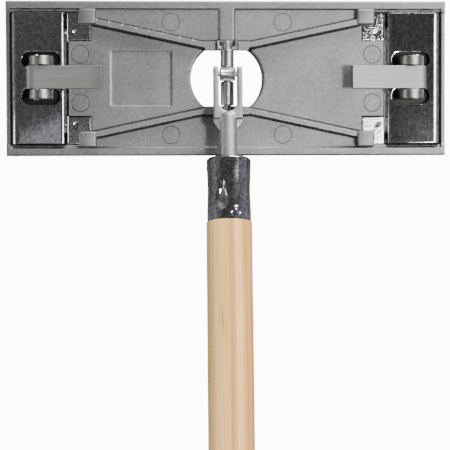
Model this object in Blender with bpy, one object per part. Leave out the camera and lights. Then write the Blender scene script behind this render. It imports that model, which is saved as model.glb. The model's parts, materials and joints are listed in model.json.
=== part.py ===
"""Pole drywall sander: cast head with two cam-lever paper clamps, a two-axis swivel and a wooden pole.

Units are metres, +Z up. The head lies flat with its foam face on z = 0 and its length along X.
The pole leaves the head towards -Y and rises at its folding stop. The origin is under the centre
of the whole tool's box.
"""
import math

import bmesh
import bpy
from mathutils import Matrix, Vector

MM = 0.001
GAP = 0.3 * MM                    # clearance between neighbouring pieces
ROUND = 32                        # facets on a round piece

# Head casting: a 9-1/4 x 3-1/4 inch plate
PLATE_LENGTH = 235.0 * MM
PLATE_WIDTH = 82.5 * MM
PLATE_CORNER = 1.6 * MM
PLATE_EDGE = 1.1 * MM
FOAM_THICKNESS = 6.5 * MM
FOAM_INSET = 0.8 * MM
PLATE_BOTTOM = FOAM_THICKNESS + GAP
RIM_TOP = 11.4 * MM
WEB_TOP = 10.3 * MM
RIM_WIDTH = 4.2 * MM
STRIP_HALF = 3.85 * MM            # strip from the rim to each boss
LABEL_BOX = (-62.0 * MM, -29.3 * MM, 14.7 * MM)
LABEL_DEPTH = 0.5 * MM

# Centre hole and the two bosses that carry the swivel pin
HOLE_RADIUS = 19.2 * MM
BOSS_INNER = 15.0 * MM
BOSS_OUTER = 19.6 * MM
BOSS_HALF = 5.6 * MM
BOSS_TOP = 17.6 * MM
BOSS_LIP = 1.6 * MM
CHANNEL_HALF = 4.1 * MM
CHANNEL_FLOOR = 14.0 * MM

# Ribs and the hooks that hold the clamps' tabs
RIB_TOP = 14.6 * MM
RIB_HALF = 1.6 * MM
RIB_KNEE = (11.5 * MM, 17.4 * MM)
RIB_END = (70.5 * MM, 30.0 * MM)
HOOK_X = (69.2 * MM, 78.9 * MM)
HOOK_Y = (28.1 * MM, 36.9 * MM)
HOOK_TOP = 15.6 * MM
HOOK_UNDERSIDE = 10.6 * MM

# Clamp seat in the casting and its moulding marks
SEAT_X = (84.2 * MM, 115.3 * MM)
SEAT_HALF = 35.4 * MM
SEAT_FLOOR = 8.4 * MM
TAB_SEAT_X = 72.4 * MM
TAB_SEAT_Y = 19.9 * MM
END_TOP = 10.7 * MM
MARK_RADIUS = 4.7 * MM
MARK_DEPTH = 0.25 * MM
MARK_PLACES = ((30.0 * MM, 30.0 * MM), (78.2 * MM, 12.9 * MM))

# Spring-steel clamps
SHEET = 1.0 * MM
CLAMP_HALF = 34.8 * MM
CLAMP_TOP = 12.6 * MM
TAB_TOP = SEAT_FLOOR + GAP + SHEET
TAB_X = 72.8 * MM
TAB_Y = 20.4 * MM
STEP_X = (84.6 * MM, 87.6 * MM)
CLAMP_EDGE_X = 114.7 * MM
CLAMP_BEND = 3.7 * MM
SLOT_CENTRE = (98.6 * MM, 9.6 * MM)
SLOT_HALF_LENGTH = 10.3 * MM
SLOT_HALF_WIDTH = 4.5 * MM
CLAMP_HINGE = (73.0 * MM, SEAT_FLOOR + GAP)

# Lever brackets, pins and cam levers
EAR_CENTRE = (98.2 * MM, 17.2 * MM)
EAR_RADIUS = 6.3 * MM
EAR_Y = (6.4 * MM, 11.3 * MM)
BRACKET_BASE_TOP = 10.2 * MM
RIVET_Y = 3.4 * MM
RIVET_RADIUS = 1.2 * MM
RIVET_HEAD = 2.2 * MM
LEVER_AXIS = (100.5 * MM, 19.4 * MM)
LEVER_PIN_RADIUS = 1.5 * MM
LEVER_PIN_HALF = 11.9 * MM
LEVER_HALF = 6.05 * MM
LEVER_TOP = 2.6 * MM              # above the lever's axis
LEVER_THICKNESS = 2.4 * MM
LEVER_REACH = 27.6 * MM
LEVER_TIP = 7.0 * MM
LEVER_TIP_ANGLE = math.radians(12.0)
CAM_RADIUS = LEVER_AXIS[1] - CLAMP_TOP - GAP
CAM_DROP = 1.3 * MM               # how far the cam backs off as the lever opens

# Swivel: pin along Y, block on it, cross pin along X above it
SWIVEL_Z = 17.5 * MM
SWIVEL_PIN_RADIUS = 2.1 * MM
SWIVEL_PIN_HALF = 19.2 * MM
TILT_Y = 1.6 * MM                 # from the head's centre
TILT_Z = 22.7 * MM
BLOCK_HALF = 4.0 * MM
BLOCK_RADIUS = 3.5 * MM
SPACER_RADIUS = 3.55 * MM
CROSS_PIN_RADIUS = 1.5 * MM

# Yoke, measured from the tilt axis along the pole
RISE = math.radians(10.5)
ARM_INNER = 4.75 * MM
ARM_OUTER = 7.75 * MM
EYE_RADIUS = 4.0 * MM
ARM_HALF_HEIGHT = 3.3 * MM
THROAT_END = 20.5 * MM
SHOULDER_END = 24.5 * MM
GUSSET_END = 31.0 * MM
GUSSET_HALF = 1.6 * MM
STEM_RADIUS = 4.75 * MM
STEM_END = 48.2 * MM
SPIKE_RADIUS = 3.2 * MM
SPIKE_END = 84.0 * MM

# Ferrule and pole
FERRULE_START = 45.6 * MM
FERRULE_END = 78.5 * MM
FERRULE_RADIUS = 11.6 * MM
FERRULE_WAIST = 11.15 * MM
FERRULE_SHOULDER = 1.3 * MM
FERRULE_WALL = 1.1 * MM
POLE_RADIUS = 11.9 * MM           # 15/16 inch dowel
POLE_START = 50.0 * MM
POLE_LENGTH = 1219.0 * MM         # 48 inches
POLE_ROUNDING = 3.0 * MM
POLE_CHAMFER = 0.7 * MM
TENON_RADIUS = FERRULE_WAIST - FERRULE_WALL - GAP

# The head's offset that puts the origin under the middle of the whole tool
POLE_END = POLE_START + POLE_LENGTH
POLE_TIP_Y = TILT_Y - POLE_END * math.cos(RISE) - (POLE_RADIUS - POLE_ROUNDING) * math.sin(RISE)
POLE_ROUND_Y = (TILT_Y - (POLE_END - POLE_ROUNDING) * math.cos(RISE)
                - (POLE_RADIUS - POLE_ROUNDING) * math.sin(RISE) - POLE_ROUNDING)
HEAD_Y = -(min(POLE_TIP_Y, POLE_ROUND_Y) + PLATE_WIDTH / 2) / 2


def clear_scene():
    for old in list(bpy.data.objects):
        bpy.data.objects.remove(old, do_unlink=True)


def material(name, colour, roughness, metallic):
    """A plain surface for one kind of piece."""
    made = bpy.data.materials.new(name)
    made.use_nodes = True
    shader = made.node_tree.nodes["Principled BSDF"]
    shader.inputs["Base Color"].default_value = (*colour, 1.0)
    shader.inputs["Roughness"].default_value = roughness
    shader.inputs["Metallic"].default_value = metallic
    return made


def make_object(name, bm, smooth_angle=None):
    """Turns a closed bmesh into a named object in the scene."""
    bmesh.ops.recalc_face_normals(bm, faces=bm.faces)
    mesh = bpy.data.meshes.new(name)
    bm.to_mesh(mesh)
    bm.free()
    if smooth_angle is not None:
        mesh.shade_smooth()
        mesh.set_sharp_from_angle(angle=math.radians(smooth_angle))
    made = bpy.data.objects.new(name, mesh)
    bpy.context.collection.objects.link(made)
    return made


def add_prism(bm, outline, low, high, axis="Z"):
    """Adds a closed outline, swept from low to high along the axis."""
    lift = {"X": lambda p, d: (d, p[0], p[1]),
            "Y": lambda p, d: (p[0], d, p[1]),
            "Z": lambda p, d: (p[0], p[1], d)}[axis]
    verts = [bm.verts.new(lift(point, low)) for point in outline]
    face = bm.faces.new(verts)
    swept = bmesh.ops.extrude_face_region(bm, geom=[face])
    moved = [item for item in swept["geom"] if isinstance(item, bmesh.types.BMVert)]
    step = Vector(lift((0.0, 0.0), high - low))
    bmesh.ops.translate(bm, verts=moved, vec=step)


def prism(name, outlines, low, high, axis="Z", smooth_angle=None):
    """One object made of one or more separate prisms."""
    bm = bmesh.new()
    for outline in outlines:
        add_prism(bm, outline, low, high, axis)
    return make_object(name, bm, smooth_angle)


def turned(name, profile, smooth_angle=40.0, steps=ROUND):
    """A solid turned about Y from (distance, radius) points that start and end on the axis."""
    bm = bmesh.new()
    verts = [bm.verts.new((radius, distance, 0.0)) for distance, radius in profile]
    edges = [bm.edges.new(pair) for pair in zip(verts, verts[1:])]
    bmesh.ops.spin(bm, geom=verts + edges, cent=(0, 0, 0), axis=(0, 1, 0),
                   angle=math.tau, steps=steps, use_merge=True)
    bmesh.ops.remove_doubles(bm, verts=bm.verts, dist=0.001 * MM)
    return make_object(name, bm, smooth_angle)


def rod_profile(start, end, radius, chamfer=0.0):
    """Profile of a plain rod with chamfered ends."""
    if chamfer == 0.0:
        return [(start, 0.0), (start, radius), (end, radius), (end, 0.0)]
    turn = chamfer if end > start else -chamfer
    return [(start, 0.0), (start, radius - chamfer), (start + turn, radius),
            (end - turn, radius), (end, radius - chamfer), (end, 0.0)]


def rod(name, start, end, radius, chamfer=0.0, direction="Y", at=(0.0, 0.0, 0.0)):
    """A rod along Y or X, through the point at."""
    made = turned(name, rod_profile(start, end, radius, chamfer))
    if direction == "X":
        made.data.transform(Matrix.Rotation(-math.pi / 2, 4, "Z"))
    made.data.transform(Matrix.Translation(at))
    return made


def rectangle(x_low, x_high, y_low, y_high):
    return [(x_low, y_low), (x_high, y_low), (x_high, y_high), (x_low, y_high)]


def arc(centre, radius, start, end, steps):
    """Points on an arc, angles in degrees."""
    points = []
    for index in range(steps + 1):
        angle = math.radians(start + (end - start) * index / steps)
        points.append((centre[0] + radius * math.cos(angle), centre[1] + radius * math.sin(angle)))
    return points


def circle(centre, radius, steps=ROUND):
    return arc(centre, radius, 0.0, 360.0, steps)[:-1]


def rounded_rectangle(half_x, half_y, radius, steps=4):
    """A rectangle about the origin with round corners."""
    points = []
    for index, (side_x, side_y) in enumerate(((1, 1), (-1, 1), (-1, -1), (1, -1))):
        centre = (side_x * (half_x - radius), side_y * (half_y - radius))
        points += arc(centre, radius, 90.0 * index, 90.0 * index + 90.0, steps)
    return points


def mirrored(outline, side_x, side_y=1):
    return [(side_x * x, side_y * y) for x, y in outline]


def four_ways(outline):
    """The outline and its mirror images in both centre lines."""
    return [mirrored(outline, side_x, side_y) for side_x in (1, -1) for side_y in (1, -1)]


def combine(target, other, operation):
    """Joins or cuts the target with another closed mesh, which is then only a guide."""
    other.hide_render = True
    other.display_type = "WIRE"
    step = target.modifiers.new(other.name, "BOOLEAN")
    step.operation = operation
    step.solver = "EXACT"
    step.object = other


def settle(piece, parent, surface, origin=(0.0, 0.0, 0.0)):
    """Gives a piece its origin, parent and surface; its mesh stays where it is."""
    for step in piece.modifiers:
        if step.type == "BOOLEAN":
            step.object.data.transform(Matrix.Translation(-Vector(origin)))
            step.object.location = origin
            step.object.parent = parent
    piece.data.transform(Matrix.Translation(-Vector(origin)))
    piece.location = origin
    piece.parent = parent
    piece.data.materials.append(surface)


def pivot_empty(name, location, tilt=0.0, parent=None):
    """An empty that stands on a joint's axis and carries the pieces that turn about it."""
    made = bpy.data.objects.new(name, None)
    bpy.context.collection.objects.link(made)
    made.location = location
    made.rotation_euler = (tilt, 0.0, 0.0)
    made.parent = parent
    return made


def pocket_outline():
    """Triangular pocket between the rim, a rib and the centre strip."""
    top = PLATE_WIDTH / 2 - RIM_WIDTH
    return [(STRIP_HALF, top), (STRIP_HALF, BOSS_OUTER), (RIB_KNEE[0], BOSS_OUTER),
            (HOOK_X[0] - RIB_HALF, RIB_END[1] + 1.5 * MM), (HOOK_X[0] - RIB_HALF, top)]


def side_web_outline(side):
    """Lowered web between the two ribs of one side."""
    inner = HOLE_RADIUS + 2.4 * MM
    outline = [(inner, -RIB_KNEE[1] - 2.0 * MM), (TAB_SEAT_X, -RIB_END[1]),
               (SEAT_X[0] + 1.0 * MM, -RIB_END[1]), (SEAT_X[0] + 1.0 * MM, RIB_END[1]),
               (TAB_SEAT_X, RIB_END[1]), (inner, RIB_KNEE[1] + 2.0 * MM)]
    return mirrored(outline, side)


def rib_outline():
    """A rib from the boss to a hook, level with the boss up to its knee."""
    slope = math.atan2(RIB_END[1] - RIB_KNEE[1], RIB_END[0] - RIB_KNEE[0])
    off_x = RIB_HALF * math.sin(slope)
    off_y = RIB_HALF * math.cos(slope)
    return [(BOSS_HALF - 1.0 * MM, BOSS_INNER), (RIB_KNEE[0], BOSS_INNER),
            (RIB_KNEE[0] + 3.0 * MM, RIB_KNEE[1] - RIB_HALF + 0.5 * MM),
            (RIB_END[0] + off_x, RIB_END[1] - off_y), (RIB_END[0] - off_x, RIB_END[1] + off_y),
            (RIB_KNEE[0], BOSS_OUTER - 0.2 * MM), (BOSS_HALF - 1.0 * MM, BOSS_OUTER - 0.2 * MM)]


def hole_outline():
    """Centre hole, flattened where the bosses reach into it."""
    reach = math.degrees(math.asin(BOSS_INNER / HOLE_RADIUS))
    return (arc((0.0, 0.0), HOLE_RADIUS, -reach, reach, 14)
            + arc((0.0, 0.0), HOLE_RADIUS, 180.0 - reach, 180.0 + reach, 14))


def base_plate(parent, surface):
    """The cast head: rim, web, ribs, bosses, hooks and clamp seats."""
    bm = bmesh.new()
    add_prism(bm, rounded_rectangle(PLATE_LENGTH / 2, PLATE_WIDTH / 2, PLATE_CORNER),
              PLATE_BOTTOM, RIM_TOP)
    top_edges = [edge for edge in bm.edges if all(vert.co.z > RIM_TOP - MM / 100 for vert in edge.verts)]
    bmesh.ops.bevel(bm, geom=top_edges, offset=PLATE_EDGE, offset_type="OFFSET", segments=3,
                    profile=0.5, affect="EDGES", material=-1)
    plate = make_object("base_plate", bm, 30.0)
    high = HOOK_TOP + 5.0 * MM
    low = PLATE_BOTTOM - 2.0 * MM

    webs = four_ways(pocket_outline()) + [side_web_outline(1), side_web_outline(-1)]
    combine(plate, prism("web_cut", webs, WEB_TOP, high), "DIFFERENCE")
    seats = [mirrored(rectangle(SEAT_X[0], SEAT_X[1], -SEAT_HALF, SEAT_HALF), side) for side in (1, -1)]
    combine(plate, prism("seat_cut", seats, SEAT_FLOOR, high), "DIFFERENCE")
    ends = [mirrored(rectangle(SEAT_X[1] - 1.0 * MM, PLATE_LENGTH / 2 + MM,
                               -SEAT_HALF, SEAT_HALF), side) for side in (1, -1)]
    combine(plate, prism("end_cut", ends, END_TOP, high), "DIFFERENCE")
    tabs = four_ways(rectangle(TAB_SEAT_X, SEAT_X[0] + 1.0 * MM, TAB_SEAT_Y, SEAT_HALF))
    combine(plate, prism("tab_seat_cut", tabs, SEAT_FLOOR, high), "DIFFERENCE")
    label = rectangle(LABEL_BOX[0], LABEL_BOX[1], -LABEL_BOX[2], LABEL_BOX[2])
    combine(plate, prism("label_cut", [label], WEB_TOP - LABEL_DEPTH, high), "DIFFERENCE")
    marks = [outline for place in MARK_PLACES for outline in four_ways(circle(place, MARK_RADIUS, 24))]
    combine(plate, prism("mark_cut", marks, WEB_TOP - MARK_DEPTH, high), "DIFFERENCE")

    bosses = [mirrored(rectangle(-BOSS_HALF, BOSS_HALF, BOSS_INNER, BOSS_OUTER), 1, side) for side in (1, -1)]
    combine(plate, prism("boss_body", bosses, PLATE_BOTTOM + 0.5 * MM, BOSS_TOP), "UNION")
    combine(plate, prism("rib_body", four_ways(rib_outline()), PLATE_BOTTOM + 0.7 * MM, RIB_TOP), "UNION")
    hooks = four_ways(rectangle(HOOK_X[0], HOOK_X[1], HOOK_Y[0], HOOK_Y[1]))
    combine(plate, prism("hook_body", hooks, HOOK_UNDERSIDE, HOOK_TOP), "UNION")

    combine(plate, prism("hole_cut", [hole_outline()], low, high), "DIFFERENCE")
    channels = [mirrored(rectangle(-CHANNEL_HALF, CHANNEL_HALF, BOSS_INNER + BOSS_LIP, BOSS_OUTER + MM), 1, side)
                for side in (1, -1)]
    combine(plate, prism("channel_cut", channels, CHANNEL_FLOOR, high), "DIFFERENCE")
    notch_radius = SWIVEL_PIN_RADIUS + GAP
    notch = ([(notch_radius, high), (-notch_radius, high)]
             + arc((0.0, SWIVEL_Z), notch_radius, 180.0, 360.0, 10))
    combine(plate, prism("notch_cut", [notch], -BOSS_OUTER, BOSS_OUTER, "Y"), "DIFFERENCE")
    holes = four_ways(circle((EAR_CENTRE[0], RIVET_Y), RIVET_RADIUS + GAP, 12))
    combine(plate, prism("rivet_hole_cut", holes, low, high), "DIFFERENCE")
    settle(plate, parent, surface)


def foam_pad(parent, surface):
    """The foam backing pad glued under the casting."""
    outline = rounded_rectangle(PLATE_LENGTH / 2 - FOAM_INSET, PLATE_WIDTH / 2 - FOAM_INSET, PLATE_CORNER)
    pad = prism("foam_pad", [outline], 0.0, FOAM_THICKNESS)
    cut = prism("foam_hole_cut", [circle((0.0, 0.0), HOLE_RADIUS)], -MM, FOAM_THICKNESS + MM)
    combine(pad, cut, "DIFFERENCE")
    settle(pad, parent, surface)


def clamp_profile():
    """Section of a clamp: tab, step up, flat face and turned-down outer edge."""
    bend = CLAMP_BEND
    centre = (CLAMP_EDGE_X - bend, CLAMP_TOP - bend)
    foot = SEAT_FLOOR + GAP
    outer = ([(STEP_X[0], TAB_TOP), (STEP_X[1], CLAMP_TOP)] + arc(centre, bend, 90.0, 0.0, 5)
             + [(CLAMP_EDGE_X, foot)])
    inner = ([(CLAMP_EDGE_X - SHEET, foot)] + arc(centre, bend - SHEET, 0.0, 90.0, 5)
             + [(STEP_X[1] + 0.35 * MM, CLAMP_TOP - SHEET), (STEP_X[0] + 0.35 * MM, TAB_TOP - SHEET)])
    return outer, inner


def clamp(name, side, parent, surface):
    """A bent sheet that pinches the paper, with two tabs held under the casting's hooks."""
    outer, inner = clamp_profile()
    tab_start = [(TAB_X, TAB_TOP - SHEET), (TAB_X, TAB_TOP)]
    whole = mirrored(tab_start + outer + inner, side)
    plate = prism(name, [whole], -CLAMP_HALF, CLAMP_HALF, "Y", 40.0)
    middle = mirrored(rectangle(TAB_X - MM, STEP_X[0] - 0.1 * MM, -TAB_Y, TAB_Y), side)
    combine(plate, prism(name + "_middle_cut", [middle], SEAT_FLOOR, CLAMP_TOP), "DIFFERENCE")
    run = SLOT_HALF_LENGTH - SLOT_HALF_WIDTH
    slots = []
    for side_y in (1, -1):
        right = (SLOT_CENTRE[0] + run, SLOT_CENTRE[1])
        left = (SLOT_CENTRE[0] - run, SLOT_CENTRE[1])
        outline = arc(right, SLOT_HALF_WIDTH, -90.0, 90.0, 8) + arc(left, SLOT_HALF_WIDTH, 90.0, 270.0, 8)
        slots.append(mirrored(outline, side, side_y))
    combine(plate, prism(name + "_slot_cut", slots, SEAT_FLOOR, CLAMP_TOP + MM), "DIFFERENCE")
    settle(plate, parent, surface, (side * CLAMP_HINGE[0], 0.0, CLAMP_HINGE[1]))


def bracket(name, side, parent, surface):
    """A clevis that stands through the clamp's slots and holds the lever pin."""
    left = EAR_CENTRE[0] - EAR_RADIUS
    right = EAR_CENTRE[0] + EAR_RADIUS
    foot = SEAT_FLOOR + GAP
    outline = [(left, foot), (right, foot)] + arc(EAR_CENTRE, EAR_RADIUS, 0.0, 180.0, 14)
    piece = prism(name, [mirrored(outline, side)], -EAR_Y[1], EAR_Y[1], "Y", 30.0)
    middle = mirrored(rectangle(left - MM, right + MM, -EAR_Y[0], EAR_Y[0]), side)
    combine(piece, prism(name + "_gap_cut", [middle], BRACKET_BASE_TOP, EAR_CENTRE[1] + 2 * EAR_RADIUS),
            "DIFFERENCE")
    axle = rod(name + "_pin_cut", -EAR_Y[1] - MM, EAR_Y[1] + MM, LEVER_PIN_RADIUS + GAP,
               at=(side * LEVER_AXIS[0], 0.0, LEVER_AXIS[1]))
    combine(piece, axle, "DIFFERENCE")
    holes = [mirrored(circle((EAR_CENTRE[0], side_y * RIVET_Y), RIVET_RADIUS + GAP, 12), side)
             for side_y in (1, -1)]
    combine(piece, prism(name + "_rivet_cut", holes, foot - MM, BRACKET_BASE_TOP + MM), "DIFFERENCE")
    settle(piece, parent, surface)


def bracket_rivet(name, side, side_y, parent, surface):
    """One of the two rivets that hold a bracket to the casting."""
    low = PLATE_BOTTOM + 0.1 * MM
    head = BRACKET_BASE_TOP + GAP
    piece = turned(name, [(low, 0.0), (low, RIVET_RADIUS), (head, RIVET_RADIUS), (head, RIVET_HEAD),
                          (head + 0.3 * MM, RIVET_HEAD), (head + 0.7 * MM, 0.6 * RIVET_HEAD),
                          (head + 0.7 * MM, 0.0)], steps=16)
    piece.data.transform(Matrix.Rotation(math.pi / 2, 4, "X"))
    place = (side * EAR_CENTRE[0], side_y * RIVET_Y, 0.0)
    piece.data.transform(Matrix.Translation(place))
    settle(piece, parent, surface, place)


def lever_profile():
    """Section of a cam lever about its own axis, with its arm towards -X."""
    points = []
    for index in range(13):
        share = index / 12
        angle = math.radians(90.0 * share)
        radius = CAM_RADIUS - CAM_DROP * share
        points.append((radius * math.sin(angle), -radius * math.cos(angle)))
    nose = CAM_RADIUS - CAM_DROP
    start = 0.5 * MM
    for index in range(1, 9):
        angle = math.radians(90.0 * index / 8)
        points.append((start + (nose - start) * math.cos(angle), LEVER_TOP * math.sin(angle)))
    tip_x = -LEVER_REACH - LEVER_TIP * math.cos(LEVER_TIP_ANGLE)
    tip_z = LEVER_TOP + LEVER_TIP * math.sin(LEVER_TIP_ANGLE)
    under = LEVER_TOP - LEVER_THICKNESS
    points += [(-LEVER_REACH, LEVER_TOP), (tip_x, tip_z),
               (tip_x - 0.3 * LEVER_THICKNESS, tip_z - 0.8 * LEVER_THICKNESS),
               (-LEVER_REACH - 0.2 * LEVER_THICKNESS, under), (-7.4 * MM, under),
               (-5.6 * MM, -1.2 * MM), (-4.6 * MM, -3.6 * MM), (-2.4 * MM, -5.6 * MM)]
    return points


def cam_lever(name, side, parent, surface):
    """A flat lever whose cam presses the clamp down."""
    outline = [(side * (x + LEVER_AXIS[0]), z + LEVER_AXIS[1]) for x, z in lever_profile()]
    piece = prism(name, [outline], -LEVER_HALF, LEVER_HALF, "Y", 30.0)
    axis = (side * LEVER_AXIS[0], 0.0, LEVER_AXIS[1])
    hole = rod(name + "_pin_cut", -LEVER_HALF - MM, LEVER_HALF + MM, LEVER_PIN_RADIUS + GAP, at=axis)
    combine(piece, hole, "DIFFERENCE")
    settle(piece, parent, surface, axis)


def lever_pin(name, side, parent, surface):
    """The pin that a cam lever turns on."""
    axis = (side * LEVER_AXIS[0], 0.0, LEVER_AXIS[1])
    piece = rod(name, -LEVER_PIN_HALF, LEVER_PIN_HALF, LEVER_PIN_RADIUS, 0.3 * MM, at=axis)
    settle(piece, parent, surface, axis)


def swivel_pin(parent, surface):
    """The pin between the bosses that the swivel block rolls on."""
    axis = (0.0, 0.0, SWIVEL_Z)
    piece = rod("swivel_pin", -SWIVEL_PIN_HALF, SWIVEL_PIN_HALF, SWIVEL_PIN_RADIUS, 0.5 * MM, at=axis)
    settle(piece, parent, surface, axis)


def spacer(name, start, end, parent, surface):
    """A sleeve that keeps the swivel block in its place along the pin."""
    bore = SWIVEL_PIN_RADIUS + GAP
    edge = 0.3 * MM
    profile = [(start, bore), (start, SPACER_RADIUS - edge), (start + edge, SPACER_RADIUS),
               (end - edge, SPACER_RADIUS), (end, SPACER_RADIUS - edge), (end, bore), (start, bore)]
    piece = turned(name, profile, steps=24)
    piece.data.transform(Matrix.Translation((0.0, 0.0, SWIVEL_Z)))
    settle(piece, parent, surface, (0.0, 0.0, SWIVEL_Z))


def swivel_block(parent, surface):
    """The block that joins the swivel pin to the cross pin above it."""
    lower = (TILT_Y, SWIVEL_Z)
    upper = (TILT_Y, TILT_Z)
    outline = arc(upper, BLOCK_RADIUS, 0.0, 180.0, 12) + arc(lower, BLOCK_RADIUS, 180.0, 360.0, 12)
    piece = prism("swivel_block", [outline], -BLOCK_HALF, BLOCK_HALF, "X", 30.0)
    along = rod("block_pin_cut", TILT_Y - 2 * BLOCK_RADIUS, TILT_Y + 2 * BLOCK_RADIUS,
                SWIVEL_PIN_RADIUS + GAP, at=(0.0, 0.0, SWIVEL_Z))
    combine(piece, along, "DIFFERENCE")
    across = rod("block_cross_cut", -2 * BLOCK_HALF, 2 * BLOCK_HALF, CROSS_PIN_RADIUS + GAP,
                 direction="X", at=(0.0, TILT_Y, TILT_Z))
    combine(piece, across, "DIFFERENCE")
    settle(piece, parent, surface, (0.0, 0.0, SWIVEL_Z))


def cross_pin(parent, surface):
    """The pin through the block and both arms of the yoke."""
    reach = ARM_OUTER - 0.1 * MM
    piece = rod("cross_pin", -reach, reach, CROSS_PIN_RADIUS, 0.3 * MM, direction="X",
                at=(0.0, TILT_Y, TILT_Z))
    settle(piece, parent, surface, (0.0, TILT_Y, TILT_Z))


def yoke(parent, surface):
    """The cast fork with its stem and the spike that goes into the pole, along -Y."""
    side_view = (arc((0.0, 0.0), EYE_RADIUS, -math.degrees(math.asin(ARM_HALF_HEIGHT / EYE_RADIUS)),
                     math.degrees(math.asin(ARM_HALF_HEIGHT / EYE_RADIUS)), 12)
                 + [(-SHOULDER_END, ARM_HALF_HEIGHT), (-SHOULDER_END, -ARM_HALF_HEIGHT)])
    piece = prism("yoke", [side_view], -ARM_OUTER, ARM_OUTER, "X", 30.0)
    throat_centre = -(THROAT_END - ARM_INNER)
    throat = ([(ARM_INNER, 2 * EYE_RADIUS), (-ARM_INNER, 2 * EYE_RADIUS)]
              + arc((0.0, throat_centre), ARM_INNER, 180.0, 360.0, 14))
    combine(piece, prism("throat_cut", [throat], -2 * EYE_RADIUS, 2 * EYE_RADIUS), "DIFFERENCE")
    gusset = [(-ARM_OUTER, -SHOULDER_END + MM), (-ARM_OUTER, -SHOULDER_END - 1.5 * MM),
              (-STEM_RADIUS + 0.4 * MM, -GUSSET_END), (STEM_RADIUS - 0.4 * MM, -GUSSET_END),
              (ARM_OUTER, -SHOULDER_END - 1.5 * MM), (ARM_OUTER, -SHOULDER_END + MM)]
    combine(piece, prism("gusset_body", [gusset], -GUSSET_HALF, GUSSET_HALF), "UNION")
    stem = turned("stem_body", [(-THROAT_END - 0.8 * MM, 0.0), (-THROAT_END - 0.8 * MM, STEM_RADIUS - 1.0 * MM),
                                (-THROAT_END - 1.8 * MM, STEM_RADIUS), (-STEM_END, STEM_RADIUS),
                                (-STEM_END, SPIKE_RADIUS), (-SPIKE_END + 4 * MM, SPIKE_RADIUS),
                                (-SPIKE_END, 1.0 * MM), (-SPIKE_END, 0.0)])
    combine(piece, stem, "UNION")
    eyes = rod("eye_cut", -2 * ARM_OUTER, 2 * ARM_OUTER, CROSS_PIN_RADIUS + GAP, direction="X")
    combine(piece, eyes, "DIFFERENCE")
    settle(piece, parent, surface)


def ferrule(parent, surface):
    """The drawn steel cup that ties the stem to the pole's end."""
    shoulder = FERRULE_SHOULDER
    centre = (-FERRULE_START - shoulder, FERRULE_RADIUS - shoulder)
    outside = [(-FERRULE_START, STEM_RADIUS + GAP)]
    for index in range(6):
        angle = math.radians(90.0 * index / 5)
        outside.append((centre[0] + shoulder * math.cos(angle), centre[1] + shoulder * math.sin(angle)))
    length = FERRULE_END - FERRULE_START
    for share in (0.3, 0.5, 0.7):
        outside.append((-FERRULE_START - share * length, FERRULE_WAIST))
    outside.append((-FERRULE_END, FERRULE_RADIUS - 0.2 * MM))
    inside = [(-FERRULE_END, FERRULE_WAIST - FERRULE_WALL),
              (-FERRULE_START - FERRULE_WALL - 1.5 * MM, FERRULE_WAIST - FERRULE_WALL),
              (-FERRULE_START - FERRULE_WALL, FERRULE_WAIST - FERRULE_WALL - 1.5 * MM),
              (-FERRULE_START - FERRULE_WALL, STEM_RADIUS + GAP)]
    profile = outside + inside
    piece = turned("ferrule", profile + profile[:1], steps=40)
    settle(piece, parent, surface)


def pole(parent, surface):
    """The wooden pole, turned down where it enters the ferrule."""
    bore = SPIKE_RADIUS + GAP
    shoulder = FERRULE_END + GAP
    profile = [(-SPIKE_END - MM, 0.0), (-SPIKE_END - MM, bore), (-POLE_START, bore),
               (-POLE_START, TENON_RADIUS - 0.5 * MM), (-POLE_START - 0.5 * MM, TENON_RADIUS),
               (-shoulder, TENON_RADIUS), (-shoulder, POLE_RADIUS - POLE_CHAMFER),
               (-shoulder - POLE_CHAMFER, POLE_RADIUS)]
    for index in range(6):
        angle = math.radians(90.0 * index / 5)
        profile.append((-POLE_END + POLE_ROUNDING * (1 - math.sin(angle)),
                        POLE_RADIUS - POLE_ROUNDING * (1 - math.cos(angle))))
    profile.append((-POLE_END, 0.0))
    settle(turned("pole", profile, steps=40), parent, surface)


def main():
    clear_scene()
    cast = material("cast_aluminium", (0.52, 0.51, 0.50), 0.45, 1.0)
    bright_cast = material("lever_aluminium", (0.66, 0.65, 0.63), 0.32, 1.0)
    zinc = material("zinc_plated_steel", (0.30, 0.31, 0.33), 0.18, 1.0)
    steel = material("polished_steel", (0.42, 0.42, 0.44), 0.15, 1.0)
    wood = material("pale_wood", (0.76, 0.60, 0.42), 0.5, 0.0)
    foam = material("grey_foam", (0.16, 0.16, 0.17), 0.9, 0.0)

    head = pivot_empty("head_frame", (0.0, HEAD_Y, 0.0))
    base_plate(head, cast)
    foam_pad(head, foam)
    swivel_pin(head, steel)
    inner = BLOCK_RADIUS + GAP
    spacer("upper_spacer", TILT_Y + inner, BOSS_INNER - GAP, head, steel)
    spacer("lower_spacer", -BOSS_INNER + GAP, TILT_Y - inner, head, steel)
    swivel_block(head, steel)
    cross_pin(head, steel)
    for label, side in (("left", -1), ("right", 1)):
        clamp(label + "_clamp", side, head, zinc)
        bracket(label + "_lever_bracket", side, head, steel)
        for end, side_y in (("front", -1), ("rear", 1)):
            bracket_rivet(f"{label}_{end}_rivet", side, side_y, head, steel)
        lever_pin(label + "_lever_pin", side, head, steel)
        cam_lever(label + "_cam_lever", side, head, bright_cast)

    handle = pivot_empty("handle_pivot", (0.0, TILT_Y, TILT_Z), -RISE, head)
    yoke(handle, cast)
    ferrule(handle, zinc)
    pole(handle, wood)
    bpy.context.view_layer.update()


main()
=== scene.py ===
"""Looks of a pole drywall sander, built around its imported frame."""

import json
import math

import bmesh
import bpy
import numpy as np
from bpy.props import FloatProperty, FloatVectorProperty, PointerProperty
from mathutils import Matrix, Vector


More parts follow.
